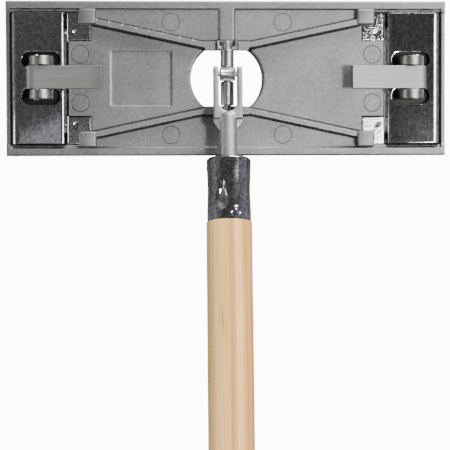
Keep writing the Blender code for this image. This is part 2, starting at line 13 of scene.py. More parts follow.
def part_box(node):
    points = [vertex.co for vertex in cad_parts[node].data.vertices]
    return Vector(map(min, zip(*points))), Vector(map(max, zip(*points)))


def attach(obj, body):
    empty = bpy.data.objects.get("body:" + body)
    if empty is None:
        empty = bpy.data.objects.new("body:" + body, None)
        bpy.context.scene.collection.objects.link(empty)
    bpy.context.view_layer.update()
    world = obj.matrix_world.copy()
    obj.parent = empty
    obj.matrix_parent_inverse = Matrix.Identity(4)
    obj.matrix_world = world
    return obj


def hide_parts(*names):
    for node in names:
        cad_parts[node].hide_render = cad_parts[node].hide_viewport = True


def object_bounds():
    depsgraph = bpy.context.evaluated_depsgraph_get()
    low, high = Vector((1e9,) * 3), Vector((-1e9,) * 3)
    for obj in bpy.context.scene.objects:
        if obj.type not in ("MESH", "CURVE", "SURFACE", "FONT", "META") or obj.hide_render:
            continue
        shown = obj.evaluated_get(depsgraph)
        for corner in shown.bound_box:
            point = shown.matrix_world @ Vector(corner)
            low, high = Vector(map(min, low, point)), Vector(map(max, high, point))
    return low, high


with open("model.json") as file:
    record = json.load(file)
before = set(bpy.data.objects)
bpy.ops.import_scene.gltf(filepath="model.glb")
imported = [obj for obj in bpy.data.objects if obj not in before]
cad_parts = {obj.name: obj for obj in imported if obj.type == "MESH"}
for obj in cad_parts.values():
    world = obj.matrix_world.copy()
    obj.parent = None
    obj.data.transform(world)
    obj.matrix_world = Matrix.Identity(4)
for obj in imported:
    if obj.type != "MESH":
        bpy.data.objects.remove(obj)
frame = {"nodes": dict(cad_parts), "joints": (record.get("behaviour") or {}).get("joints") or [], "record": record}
CAD_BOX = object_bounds()

bl_info = {
    "name": "Pole drywall sander",
    "version": (1, 0, 0),
    "blender": (4, 5, 0),
    "location": "View3D > Sidebar > Sander",
    "description": "Cast sanding head with lever clamps, a two-axis swivel and a wooden pole",
    "category": "Object",
}

MM = 0.001
GAP = 0.3 * MM                    # clearance between neighbouring pieces
FINE_STEP = 0.01 * MM             # step for measuring how a gap grows
MERGE = 0.001 * MM                # closer points are one point
FRAME_MERGE = 0.002 * MM          # the same for a copy of a frame node
FLAT_ANGLE = math.radians(0.6)    # faces this close to level are one face
CLAMP_CELL = 0.6 * MM             # spacing of the clamps' surface mesh
FOAM_CELL = 2.5 * MM              # spacing of the foam's surface mesh
HOOK_TAPER = 0.93                 # width of a hook's top over its foot
HOOK_ROUNDING = 0.9 * MM
FERRULE_TAPER = 0.15 * MM         # how much thinner the ferrule is at its mouth
SPAN = 1.0                        # a reach, in metres, beyond anything on the head
SKIN_SMOOTHING = 10               # passes that soften the yoke's cast corners
PLATE_LOW, PLATE_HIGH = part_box("base_plate")
HEAD = Vector(((PLATE_LOW.x + PLATE_HIGH.x) / 2, (PLATE_LOW.y + PLATE_HIGH.y) / 2, 0.0))
HALF_LENGTH = (PLATE_HIGH.x - PLATE_LOW.x) / 2
HALF_WIDTH = (PLATE_HIGH.y - PLATE_LOW.y) / 2
FOAM_LOW, FOAM_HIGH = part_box("foam_pad")
JOINTS = {joint["name"]: joint for joint in frame["joints"]}
MOUNTS = {mount["name"]: mount for mount in frame["record"]["mounts"]}
PIVOT = Vector(JOINTS["pole_tilt"]["pos_m"])
POLE_WAY = Vector(MOUNTS["pole_end"]["axis"]).normalized()
POLE_TIP = Vector(MOUNTS["pole_end"]["pos_m"])

# Round moulding marks of one quarter of the casting, from its centre
MARK_PLACES = ((30.0 * MM, 30.0 * MM), (78.2 * MM, 12.9 * MM), (89.1 * MM, 32.2 * MM),
               (107.0 * MM, 32.2 * MM))
MARK_LINE = (0.12 * MM, 0.34 * MM)
CREVICE_RINGS = (0.6 * MM, 1.1 * MM)  # how far round a point its hollow is measured, for the painted shade in the corners

# Growth bands across the pole, from its left side: place and share of the dark wood. They also hold painted shade:
# the pole's middle and right side are made darker.
WOOD_BANDS_AND_SHADE = ((0.0, 0.35), (0.08, 0.10), (0.22, -0.20), (0.36, 0.10), (0.45, 0.55), (0.52, 1.10),
              (0.58, 0.85), (0.65, 0.15), (0.72, 0.30), (0.82, 1.05), (0.92, 0.80), (1.0, 1.10))
BAND_SHIFT = 2.5 * MM             # the bands' middle, off the pole's own
BAND_SWAY = 7.0 * MM              # how far the bands wander along the pole
SCAR_PLACE = (4.5 * MM, 129.5 * MM)
SCAR_HALF = (1.4 * MM, 13.0 * MM)
SCAR_SLANT = math.radians(5.5)

# Dents of the ferrule: distance from the tilt axis, bearing in degrees, half length, half width, depth
CRIMPS = ((68.0 * MM, 68.0, 6.4 * MM, 3.9 * MM, 1.9 * MM), (62.0 * MM, 69.0, 5.6 * MM, 2.2 * MM, 0.95 * MM),
          (73.1 * MM, 107.0, 1.3 * MM, 1.2 * MM, 0.40 * MM), (76.1 * MM, 96.0, 1.5 * MM, 1.2 * MM, 0.35 * MM),
          (76.3 * MM, 115.0, 1.2 * MM, 1.1 * MM, 0.35 * MM))

# Lamps: name, place from the middle of the casting's top, width, height, watts, tone
LAMPS = (("far_softbox", (0.7, 1.5, 0.75), 1.4, 0.5, 100.0, (1.0, 0.99, 0.98)),
         ("right_softbox", (0.85, 0.04, 1.1), 0.32, 0.6, 11.0, (1.0, 1.0, 1.0)),
         ("key_light", (0.39, -0.12, 1.12), 0.14, 0.14, 8.4, (1.0, 1.0, 1.0)),
         ("left_card", (-0.235, -0.13, 1.2), 0.24, 0.34, 0.15, (0.86, 0.92, 1.0)),
         ("left_softbox", (-1.3, -0.35, 0.35), 0.8, 0.5, 9.0, (1.0, 1.0, 1.0)),
         ("near_card", (-0.06, -0.6, 1.1), 0.26, 0.26, 1.6, (1.0, 1.0, 1.0)))

# Brightness of the surroundings from the near side to the far side, and from left to right
FAR_TONES = ((0.0, (0.05,)), (0.40, (0.10, 0.085, 0.075)), (0.58, (0.12, 0.118, 0.12)),
             (0.72, (0.16, 0.16, 0.165)), (0.88, (0.75,)), (1.0, (1.0,)))
SIDE_TONES = ((0.0, (0.50,)), (0.05, (0.26,)), (0.22, (0.06, 0.055, 0.05)), (0.47, (0.06, 0.055, 0.055)),
              (0.58, (0.0,)), (0.76, (0.03,)), (0.90, (0.16, 0.16, 0.17)), (1.0, (0.42, 0.46, 0.60)))

FLOOR_GLOW = 0.06                 # what the floor gives the sander
FLOOR_SHOWN = 12.0                # what the camera sees of the floor
CAMERA_PLACE = Vector((-30.4, -54.5, 766.3)) * MM
CAMERA_TURN = (-1.8, -2.22, -0.18)
CAMERA_LENS = 112.9
SENSOR_WIDTH = 36.0


def size(name, description, millimetres):
    return FloatProperty(name=name, description=description, default=millimetres * MM, unit="LENGTH",
                         precision=5)


def colour(name, description, default):
    return FloatVectorProperty(name=name, description=description, default=default,
                               subtype="COLOR", size=3, min=0.0, max=1.0)


class CastingSizes(bpy.types.PropertyGroup):
    cell: size("Cell", "Spacing of the casting's surface mesh", 0.5)
    rim_top: size("Rim top", "Height of the rim", 11.4)
    rim_width: size("Rim width", "Width of the rim", 4.2)
    web_top: size("Web top", "Height of the pockets and webs", 10.3)
    end_top: size("End top", "Height of the strip outside each clamp", 10.7)
    edge_radius: size("Edge radius", "Rounding of the outer edge", 0.9)
    draft: size("Draft", "Width of a slope beside a raised feature", 0.85)
    hole_radius: size("Hole radius", "Radius of the centre hole", 19.2)
    hole_lip: size("Hole lip", "Rounding of the centre hole's edge", 1.1)
    strip_half: size("Strip half width", "Half width of the centre strips", 3.85)
    boss_inner: size("Boss inner face", "Where the bosses face the swivel", 15.0)
    boss_outer: size("Boss outer face", "Where the bosses end", 19.6)
    boss_half: size("Boss half width", "Half width of a boss", 5.6)
    boss_top: size("Boss top", "Height of a boss", 17.6)
    boss_lip: size("Boss lip", "Thickness of the wall that holds the pin", 1.6)
    channel_half: size("Channel half width", "Half width of the channel at the pin's end", 4.1)
    channel_floor: size("Channel floor", "Height of the channel's floor", 14.0)
    rib_top: size("Rib top", "Height of the ribs", 14.5)
    rib_half: size("Rib half width", "Half width of a rib's top", 1.3)
    knee_x: size("Knee X", "Where a rib bends, along the head", 11.5)
    knee_y: size("Knee Y", "Where a rib bends, across the head", 17.4)
    rib_end_x: size("Rib end X", "Where a rib meets its hook, along the head", 70.5)
    rib_end_y: size("Rib end Y", "Where a rib meets its hook, across the head", 30.0)
    hook_inner: size("Hook inner X", "Near side of a hook", 69.2)
    hook_outer: size("Hook outer X", "Far side of a hook", 78.9)
    hook_low: size("Hook low Y", "Side of a hook towards the middle", 28.1)
    hook_high: size("Hook high Y", "Side of a hook towards the rim", 36.9)
    hook_top: size("Hook top", "Height of a hook", 15.5)
    hook_under: size("Hook underside", "Height of a hook's underside", 10.7)
    seat_inner: size("Seat inner X", "Near side of a clamp seat", 84.2)
    seat_outer: size("Seat outer X", "Far side of a clamp seat", 115.3)
    seat_half: size("Seat half width", "Half width of a clamp seat", 35.4)
    seat_floor: size("Seat floor", "Height of a clamp seat's floor", 8.4)
    tab_seat_x: size("Tab seat X", "Near side of a tab's seat", 72.4)
    tab_seat_y: size("Tab seat Y", "Side of a tab's seat towards the middle", 19.9)
    mark_radius: size("Mark radius", "Radius of the round moulding marks", 4.7)
    label_near: size("Label near X", "Side of the blank recess towards the hole", 29.3)
    label_far: size("Label far X", "Side of the blank recess towards the clamp", 62.0)
    label_half: size("Label half width", "Half width of the blank recess", 14.7)
    label_depth: size("Label depth", "Depth of the blank recess", 0.45)


class FittingSizes(bpy.types.PropertyGroup):
    clamp_half: size("Clamp half width", "Half width of a clamp", 34.8)
    clamp_top: size("Clamp top", "Height of a clamp's face", 12.6)
    clamp_edge: size("Clamp edge X", "Outer edge of a clamp", 114.7)
    clamp_bend: size("Clamp bend", "Radius of the turned-down edge", 3.7)
    sheet: size("Sheet", "Thickness of a clamp", 1.0)
    tab_x: size("Tab X", "Inner end of a clamp's tabs", 72.8)
    tab_y: size("Tab Y", "Side of a tab towards the middle", 20.4)
    step_low: size("Step low X", "Foot of a clamp's step", 84.6)
    step_high: size("Step high X", "Top of a clamp's step", 87.6)
    slot_x: size("Slot X", "Centre of a slot along the head", 98.6)
    slot_y: size("Slot Y", "Centre of a slot across the head", 9.6)
    slot_half_length: size("Slot half length", "Half length of a slot", 10.3)
    slot_half_width: size("Slot half width", "Half width of a slot", 4.5)
    dimple_x: size("Dimple X", "Place of a tab's dimple along the head", 80.6)
    dimple_y: size("Dimple Y", "Place of a tab's dimple across the head", 24.4)
    dimple_radius: size("Dimple radius", "Radius of a tab's dimple", 1.7)
    dimple_depth: size("Dimple depth", "Depth of a tab's dimple", 0.5)
    foam_edge: size("Foam edge", "Softening of the foam's edges", 0.8)
    foam_waist: size("Foam waist", "How far the foam's sides pull in", 0.5)


class HandleSizes(bpy.types.PropertyGroup):
    ferrule_start: size("Ferrule start", "Distance of the ferrule from the tilt axis", 45.6)
    ferrule_end: size("Ferrule end", "Distance of the ferrule's mouth from the tilt axis", 78.5)
    ferrule_radius: size("Ferrule radius", "Outer radius of the ferrule", 11.6)
    ferrule_waist: size("Ferrule waist", "Outer radius of the ferrule's waist", 11.15)
    ferrule_wall: size("Ferrule wall", "Thickness of the ferrule", 1.1)
    ferrule_shoulder: size("Ferrule shoulder", "Rounding of the ferrule's front", 1.3)
    stem_radius: size("Stem radius", "Radius of the yoke's stem", 4.75)
    pole_radius: size("Pole radius", "Radius of the pole", 11.9)
    pole_start: size("Pole start", "Distance of the tenon's end from the tilt axis", 50.0)
    pole_rounding: size("Pole rounding", "Rounding of the pole's free end", 3.0)
    yoke_cell: size("Yoke cell", "Spacing of the yoke's surface mesh", 0.36)


class Colours(bpy.types.PropertyGroup):
    casting: colour("Casting", "Cast aluminium", (0.282, 0.273, 0.276))
    lever: colour("Levers", "Satin aluminium", (0.245, 0.239, 0.230))
    plating: colour("Plating", "Bright plated sheet", (0.52, 0.515, 0.53))
    ferrule: colour("Ferrule", "Dark bright plating", (0.40, 0.405, 0.42))
    bracket: colour("Brackets", "Dull plated steel", (0.25, 0.24, 0.23))
    steel: colour("Steel", "Polished steel", (0.43, 0.43, 0.445))
    wood_pale: colour("Pale wood", "Spring growth of the pole", (0.78, 0.47, 0.17))
    wood_dark: colour("Dark wood", "Summer growth of the pole", (0.50, 0.235, 0.05))
    foam: colour("Foam", "Foam backing pad", (0.075, 0.075, 0.08))
    floor: colour("Floor", "Studio floor", (0.16, 0.16, 0.17))


def sizes(group):
    """The scene's property group of that name, such as casting or handle."""
    return getattr(bpy.context.scene, "sander_" + group)


# Surfaces ---------------------------------------------------------------------------------------

class Nodes:
    """Short ways to add nodes to a tree."""

    def __init__(self, tree):
        self.tree = tree

    def link(self, source, target):
        self.tree.links.new(source, target)

    def put(self, value, socket):
        """Gives a socket another socket's value, a number, a vector or a colour."""
        if isinstance(value, bpy.types.NodeSocket):
            self.link(value, socket)
        elif isinstance(value, (int, float)) or len(value) == len(socket.default_value):
            socket.default_value = value
        else:
            socket.default_value = (*value, 1.0)

    def node(self, kind, inputs=None, **values):
        made = self.tree.nodes.new(kind)
        for key, value in values.items():
            setattr(made, key, value)
        for key, value in (inputs or {}).items():
            self.put(value, made.inputs[key])
        return made

    def calculate(self, operation, *values):
        return self.node("ShaderNodeMath", dict(enumerate(values)), operation=operation).outputs[0]

    def vector(self, operation, *values):
        return self.node("ShaderNodeVectorMath", dict(enumerate(values)), operation=operation).outputs

    def split(self, vector):
        return self.node("ShaderNodeSeparateXYZ", {"Vector": vector}).outputs

    def span(self, source, low, high, start=0.0, end=1.0):
        """Maps low to high onto start to end."""
        return self.node("ShaderNodeMapRange", {"Value": source, "From Min": low, "From Max": high,
                                                "To Min": start, "To Max": end}).outputs["Result"]

    def ramp(self, source, stops):
        """Colours by place from 0 to 1; a tone of one number is a grey."""
        made = self.node("ShaderNodeValToRGB", {"Fac": source})
        elements = made.color_ramp.elements
        while len(elements) < len(stops):
            elements.new(0.5)
        for element, (position, tone) in zip(elements, stops):
            element.position = position
            element.color = (*tone, 1.0) if len(tone) == 3 else (*tone * 3, 1.0)
        return made.outputs["Color"]

    def mix(self, kind, share, first, second):
        return self.node("ShaderNodeMix", {0: share, 6: first, 7: second}, data_type="RGBA",
                         blend_type=kind).outputs[2]


class Surface(Nodes):
    """A node material that is put together one named step at a time."""

    def __init__(self, name, base, roughness, metallic):
        self.material = bpy.data.materials.new(name)
        self.material.use_nodes = True
        super().__init__(self.material.node_tree)
        self.shader = self.tree.nodes["Principled BSDF"]
        self.place = self.node("ShaderNodeTexCoord").outputs["Object"]
        self.shade("Base Color", base)
        self.shade("Roughness", roughness)
        self.shade("Metallic", metallic)

    def shade(self, key, value):
        self.put(value, self.shader.inputs[key])

    def mapping(self, scale=(1, 1, 1), rotation=(0, 0, 0), location=(0, 0, 0), vector=None):
        return self.node("ShaderNodeMapping", {"Scale": scale, "Rotation": rotation, "Location": location,
                                               "Vector": vector or self.place}).outputs["Vector"]

    def noise(self, scale, detail=3.0, roughness=0.5, vector=None):
        return self.node("ShaderNodeTexNoise", {"Scale": scale, "Detail": detail, "Roughness": roughness,
                                                "Vector": vector or self.place}).outputs["Fac"]

    def cells(self, scale):
        return self.node("ShaderNodeTexVoronoi", {"Scale": scale, "Vector": self.place}).outputs

    def roughness(self, source, low, high):
        self.shade("Roughness", self.span(source, 0.0, 1.0, low, high))

    def bump(self, source, distance, strength=1.0):
        """Adds to the bumps that are there."""
        made = self.node("ShaderNodeBump", {"Height": source, "Distance": distance, "Strength": strength})
        normal = self.shader.inputs["Normal"]
        if normal.is_linked:
            self.link(normal.links[0].from_socket, made.inputs["Normal"])
        self.link(made.outputs["Normal"], normal)


def tinted(base, factor):
    return tuple(min(1.0, channel * factor) for channel in base)


def folded_place(made):
    """Place from the head's centre, the same in all four quarters and at every height."""
    return made.vector("ABSOLUTE", made.mapping(scale=(1, 1, 0), location=(-HEAD.x, -HEAD.y, 0)))["Vector"]


def ring_marks(made, radius):
    """A value that falls to 0 along the thin rings of the moulding marks."""
    folded = folded_place(made)
    mask = None
    for centre in MARK_PLACES:
        away = made.vector("DISTANCE", folded, (*centre, 0.0))["Value"]
        off = made.calculate("ABSOLUTE", made.calculate("SUBTRACT", away, radius))
        line = made.span(off, *MARK_LINE)
        mask = line if mask is None else made.calculate("MINIMUM", mask, line)
    return mask


def painted_crevice_shade(made):
    """Painted shade that darkens the casting's inner corners, and a painted highlight that makes its outer edges a
    little brighter.
    """
    own = made.node("ShaderNodeAttribute", attribute_name="crevice")
    depth = made.span(own.outputs["Fac"], -0.5 * MM, 1.0 * MM)
    return made.ramp(depth, [(0.0, (1.0,)), (0.28, (0.84,)), (0.40, (0.82,)), (0.55, (0.68,)),
                             (0.67, (0.50,)), (1.0, (0.10,))])


def cast_surface(name="cast_aluminium", marked=False, gain=1.0, rough=0.48):
    """Matt casting skin: fine grain, faint flow stains and a few pores; when marked, also moulding rings, painted
    shade in the corners and a painted highlight on the edges.
    """
    base = tinted(sizes("colours").casting, gain)
    made = Surface(name, base, rough, 1.0)
    stains = made.ramp(made.noise(38.0, 5.0, 0.6), [(0.3, tinted(base, 0.82)), (0.7, tinted(base, 1.12))])
    flow = made.noise(1.0, 4.0, 0.6, made.mapping(scale=(60.0, 500.0, 200.0)))
    streaked = made.mix("MULTIPLY", 0.5, stains, made.ramp(flow, [(0.35, (0.84,)), (0.65, (1.0,))]))
    grain = made.ramp(made.noise(1100.0, 3.0, 0.7), [(0.3, (0.55,)), (0.7, (1.0,))])
    tone = made.mix("MULTIPLY", 0.9, streaked, grain)
    specks = made.ramp(made.noise(700.0, 2.0), [(0.27, (0.6,)), (0.34, (1.0,))])
    tone = made.mix("MULTIPLY", 0.7, tone, specks)
    height = made.noise(1500.0, 4.0, 0.6)
    if marked:
        marks = ring_marks(made, sizes("casting").mark_radius)
        tone = made.mix("MULTIPLY", 0.75, tone, made.ramp(marks, [(0.0, (0.12,)), (1.0, (1.0,))]))
        # painted shade in the corners and painted highlight on the edges
        tone = made.mix("MULTIPLY", 1.0, tone, painted_crevice_shade(made))
        made.bump(marks, 0.12 * MM, 0.5)
    made.shade("Base Color", tone)
    made.roughness(made.noise(260.0, 4.0), rough - 0.08, rough + 0.08)
    made.bump(height, 0.035 * MM, 0.8)
    made.bump(made.noise(160.0, 3.0), 0.10 * MM, 0.5)
    return made.material


def lever_surface():
    """Satin aluminium with fine brushing along the lever."""
    base = tuple(sizes("colours").lever)
    made = Surface("brushed_lever", base, 0.5, 1.0)
    lines = made.noise(1.0, 5.0, 0.65, made.mapping(scale=(45.0, 2600.0, 700.0)))
    broad = made.noise(1.0, 3.0, 0.5, made.mapping(scale=(20.0, 420.0, 100.0)))
    tone = made.ramp(lines, [(0.3, tinted(base, 0.84)), (0.7, tinted(base, 1.08))])
    shades = made.ramp(broad, [(0.3, (0.86,)), (0.7, (1.0,))])
    made.shade("Base Color", made.mix("MULTIPLY", 0.6, tone, shades))
    made.roughness(lines, 0.46, 0.60)
    made.bump(lines, 0.02 * MM, 0.5)
    return made.material


def crinkle(made):
    """Small dents in the clamps' tabs only, from the press that shaped them."""
    step = sizes("fittings").step_low
    share = made.span(made.split(folded_place(made))["X"], step, step - 1.0 * MM)
    return made.calculate("MULTIPLY", share, made.noise(850.0, 3.0, 0.6))


def plated_surface(name, base, spangle, rough, contrast, crinkled=False):
    """Bright plating whose crystals tilt the reflection a little."""
    made = Surface(name, base, rough, 1.0)
    crystals = made.ramp(made.cells(900.0)["Color"],
                         [(0.2, tinted(base, contrast)), (0.8, tinted(base, 1.12))])
    cloud = made.noise(70.0, 4.0, 0.6)
    fine = made.ramp(made.noise(1300.0, 3.0, 0.7), [(0.3, (contrast - 0.1,)), (0.7, (1.0,))])
    tone = made.mix("MULTIPLY", 0.7, crystals, made.ramp(cloud, [(0.3, (0.78,)), (0.7, (1.0,))]))
    made.shade("Base Color", made.mix("MULTIPLY", 1.0, tone, fine))
    made.roughness(cloud, rough * 0.7, rough * 1.5)
    made.bump(made.noise(900.0, 3.0, 0.6), spangle, 1.0)
    made.bump(made.noise(90.0, 2.0), 2.0 * spangle, 0.5)
    if crinkled:
        made.bump(crinkle(made), 0.15 * MM, 1.0)
    return made.material


def bracket_surface():
    """Dull plated steel of the ears."""
    base = tuple(sizes("colours").bracket)
    made = Surface("dull_steel", base, 0.36, 1.0)
    marks = made.noise(500.0, 4.0, 0.6)
    made.shade("Base Color", made.ramp(marks, [(0.3, tinted(base, 0.7)), (0.7, tinted(base, 1.15))]))
    made.roughness(marks, 0.28, 0.46)
    made.bump(marks, 0.02 * MM, 0.8)
    return made.material


def steel_surface(name="polished_steel", rough=0.2, gain=1.0):
    """Turned steel with faint marks round it."""
    base = tinted(sizes("colours").steel, gain)
    made = Surface(name, base, rough, 1.0)
    marks = made.noise(1.0, 3.0, 0.5, made.mapping(scale=(300.0, 2200.0, 300.0)))
    made.shade("Base Color", made.ramp(marks, [(0.3, tinted(base, 0.85)), (0.7, tinted(base, 1.05))]))
    made.roughness(made.noise(300.0, 3.0), 0.7 * rough, 1.4 * rough)
    made.bump(marks, 0.01 * MM, 0.5)
    return made.material


def wood_surface():
    """Pale sanded softwood: broad growth bands across the pole, which also paint shade on its middle and right
    side, and fibres along it.
    """
    colours = sizes("colours")
    pale = np.array(colours.wood_pale)
    dark = np.array(colours.wood_dark)
    made = Surface("pale_wood", tuple(pale), 0.55, 0.0)
    turn = handle_matrix().to_3x3().inverted()
    own = made.mapping(rotation=turn.to_euler(), location=-(turn @ PIVOT))
    long_way = made.mapping(scale=(1.0, 0.03, 1.0), vector=own)
    sway = made.noise(120.0, 2.0, 0.5, long_way)
    shifted = made.calculate("MULTIPLY_ADD", sway, -BAND_SWAY, made.split(own)["X"])
    radius = sizes("handle").pole_radius
    # growth bands together with painted shade on the pole's middle and right side
    growth = made.ramp(made.span(shifted, radius - BAND_SHIFT, -radius - BAND_SHIFT),
                       [(at, tuple(pale + (dark - pale) * share)) for at, share in WOOD_BANDS_AND_SHADE])
    lines = made.node("ShaderNodeTexWave", {"Scale": 150.0, "Distortion": 6.0, "Detail": 3.0,
                                            "Vector": long_way},
                      wave_type="BANDS", bands_direction="X", wave_profile="SIN")
    rings = made.ramp(lines.outputs["Fac"], [(0.0, (0.88, 0.84, 0.78)), (0.6, (1.0,))])
    ringed = made.mix("MULTIPLY", 0.6, growth, rings)
    fibres = made.noise(900.0, 4.0, 0.6, long_way)
    fine = made.ramp(fibres, [(0.32, (0.86, 0.81, 0.75)), (0.56, (1.0,))])
    scar = made.mapping(location=(-SCAR_PLACE[0], -SCAR_PLACE[1], 0.0), vector=own)
    scar = made.mapping(rotation=(0.0, 0.0, -SCAR_SLANT), vector=scar)
    scar = made.mapping(scale=(1.0 / SCAR_HALF[0], 1.0 / SCAR_HALF[1], 0.0), vector=scar)
    scar = made.ramp(made.vector("LENGTH", scar)["Value"], [(0.0, (0.48, 0.34, 0.22)), (0.9, (1.0,))])
    fine = made.mix("MULTIPLY", 0.9, fine, scar)
    streaks = made.noise(260.0, 1.0, 0.4, long_way)
    resin = made.ramp(streaks, [(0.22, (0.80, 0.66, 0.50)), (0.30, (1.0,))])
    made.shade("Base Color", made.mix("MULTIPLY", 0.9, made.mix("MULTIPLY", 0.8, ringed, fine), resin))
    made.roughness(fibres, 0.5, 0.68)
    made.bump(fibres, 0.05 * MM, 0.5)
    return made.material


def foam_surface():
    """Closed-cell foam with small pores."""
    base = tuple(sizes("colours").foam)
    made = Surface("grey_foam", base, 0.9, 0.0)
    pores = made.cells(1400.0)["Distance"]
    made.shade("Base Color", made.ramp(pores, [(0.0, tinted(base, 0.55)), (0.6, tinted(base, 1.25))]))
    made.bump(pores, 0.15 * MM, 0.8)
    made.shade("Sheen Weight", 0.2)
    return made.material


# Shapes -----------------------------------------------------------------------------------------

def new_piece(name, bm, surface, smooth=35.0):
    """Turns a bmesh into a shaded object."""
    mesh = bpy.data.meshes.new(name)
    bm.to_mesh(mesh)
    bm.free()
    mesh.shade_smooth()
    mesh.set_sharp_from_angle(angle=math.radians(smooth))
    mesh.materials.append(surface)
    piece = bpy.data.objects.new(name, mesh)
    bpy.context.scene.collection.objects.link(piece)
    return piece


def place(piece, body, nodes):
    """Says what a piece rides on and hides the frame nodes it stands for."""
    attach(piece, body)
    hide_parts(*nodes)


def soften(piece, width, angle=35.0):
    """Rounds the hard edges of a piece."""
    step = piece.modifiers.new("soft_edges", "BEVEL")
    step.width = width
    step.segments = 2
    step.limit_method = "ANGLE"
    step.angle_limit = math.radians(angle)
    step.use_clamp_overlap = True
    step.harden_normals = False


def frame_bmesh(node):
    """A merged copy of a frame node with its flat faces whole."""
    bm = bmesh.new()
    bm.from_mesh(frame["nodes"][node].data)
    bmesh.ops.remove_doubles(bm, verts=bm.verts, dist=FRAME_MERGE)
    bmesh.ops.dissolve_limit(bm, angle_limit=FLAT_ANGLE, verts=bm.verts, edges=bm.edges)
    return bm


def fitting(node, body, surface, width):
    """A fitting with the frame's shape, softened edges and its own finish."""
    piece = new_piece(node + "_finish", frame_bmesh(node), surface)
    soften(piece, width)
    place(piece, body, [node])


def smooth_ramp(value):
    value = np.clip(value, 0.0, 1.0)
    return value * value * (3.0 - 2.0 * value)


def box_gap(x, y, low_x, high_x, low_y, high_y):
    """Signed distance to a rectangle, negative inside."""
    away_x = np.maximum(low_x - x, x - high_x)
    away_y = np.maximum(low_y - y, y - high_y)
    outside = np.hypot(np.maximum(away_x, 0.0), np.maximum(away_y, 0.0))
    return outside + np.minimum(np.maximum(away_x, away_y), 0.0)


def bar_gap(x, y, start, end, half):
    """Signed distance to a straight bar with round ends."""
    run = np.array(end) - np.array(start)
    share = np.clip(((x - start[0]) * run[0] + (y - start[1]) * run[1]) / (run @ run), 0.0, 1.0)
    return np.hypot(x - start[0] - share * run[0], y - start[1] - share * run[1]) - half


def raise_to(height, gap, top, slope):
    """Lifts the surface to top inside a shape, with a slope outside it."""
    share = smooth_ramp(1.0 - gap / slope)
    return np.where(top > height, height + (top - height) * share, height)


def sink_to(height, gap, floor, slope):
    """Lowers the surface to floor inside a shape, with a slope inside its edge."""
    share = smooth_ramp(-gap / slope)
    return np.where(floor < height, height + (floor - height) * share, height)


def hole_gap(x, y, radius, reach):
    """Signed distance to the centre hole, which is flat at reach; negative inside."""
    return np.maximum(np.hypot(x, y) - radius, np.abs(y) - reach)


def casting_height(x, y):
    """Height of the casting's upper surface at places measured from the head's centre."""
    casting = sizes("casting")
    draft = casting.draft
    wide = np.abs(x)
    tall = np.abs(y)
    inside = box_gap(wide, tall, -SPAN, casting.seat_outer, -SPAN, HALF_WIDTH - casting.rim_width)
    height = np.full_like(x, casting.web_top)
    height = raise_to(height, -inside, casting.rim_top, 0.5 * draft)
    strip = box_gap(wide, tall, -SPAN, casting.strip_half, casting.boss_inner, SPAN)
    height = raise_to(height, strip, casting.rim_top, 0.6 * draft)
    end_strip = box_gap(wide, tall, casting.seat_outer, SPAN, -SPAN, casting.seat_half)
    height = sink_to(height, end_strip, casting.end_top, 0.4 * draft)
    tab_seat = box_gap(wide, tall, casting.tab_seat_x, casting.seat_inner + 2.0 * MM,
                       casting.tab_seat_y, casting.seat_half)
    seat = box_gap(wide, tall, casting.seat_inner, casting.seat_outer, -SPAN, casting.seat_half)
    height = sink_to(height, np.minimum(seat, tab_seat), casting.seat_floor, 0.5 * draft)
    label = box_gap(x, y, -casting.label_far, -casting.label_near, -casting.label_half, casting.label_half)
    height = sink_to(height, label, casting.web_top - casting.label_depth, 0.6 * draft)
    lip = casting.hole_lip
    drop = np.clip(1.0 - hole_gap(x, y, casting.hole_radius, SPAN) / lip, 0.0, 1.0)
    height -= lip * 0.8 * (1.0 - np.sqrt(1.0 - drop * drop))
    rib = bar_gap(wide, tall, (casting.knee_x, casting.knee_y), (casting.rib_end_x, casting.rib_end_y),
                  casting.rib_half)
    height = raise_to(height, rib, casting.rib_top, draft)
    arm = box_gap(wide, tall, -SPAN, casting.knee_x, casting.boss_inner, casting.boss_outer - 0.4 * MM)
    height = raise_to(height, arm, casting.rib_top, draft)
    boss = box_gap(wide, tall, -SPAN, casting.boss_half - 0.4 * MM, casting.boss_inner, casting.boss_outer)
    height = raise_to(height, boss, casting.boss_top, 0.6 * draft)
    channel = box_gap(wide, tall, -SPAN, casting.channel_half, casting.boss_inner + casting.boss_lip,
                      casting.boss_outer + 1.5 * MM)
    height = sink_to(height, channel, casting.channel_floor, 0.5 * draft)
    pin_low, pin_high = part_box("swivel_pin")
    notch = (pin_high.x - pin_low.x) / 2 + GAP
    middle = (pin_high.z + pin_low.z) / 2
    cradle = middle - np.sqrt(np.maximum(notch * notch - wide * wide, 0.0))
    in_notch = (wide < notch) & (tall < casting.boss_outer + 1.0 * MM)
    height = np.where(in_notch, np.minimum(height, cradle), height)
    edge = np.minimum(HALF_LENGTH - wide, HALF_WIDTH - tall)
    radius = casting.edge_radius
    turn = np.clip(1.0 - edge / radius, 0.0, 1.0)
    return height - radius * (1.0 - np.sqrt(1.0 - turn * turn))


def gap_slope(gap, x, y):
    """How fast a gap grows along X and along Y."""
    return np.array([gap(x + FINE_STEP, y) - gap(x - FINE_STEP, y),
                     gap(x, y + FINE_STEP) - gap(x, y - FINE_STEP)]) / (2 * FINE_STEP)


def draw_onto_ribs(places, free):
    """Moves grid points onto the top edge and the foot of the nearest rib, so both are straight."""
    casting = sizes("casting")
    start = (casting.knee_x, casting.knee_y)
    end = (casting.rib_end_x, casting.rib_end_y)

    def gap(x, y):
        return bar_gap(np.abs(x), np.abs(y), start, end, casting.rib_half)

    for target in (0.0, casting.draft):
        away = gap(*places.T) - target
        near = free & (np.abs(away) < 0.42 * casting.cell)
        places = places - (gap_slope(gap, *places.T) * away * near).T
    return places


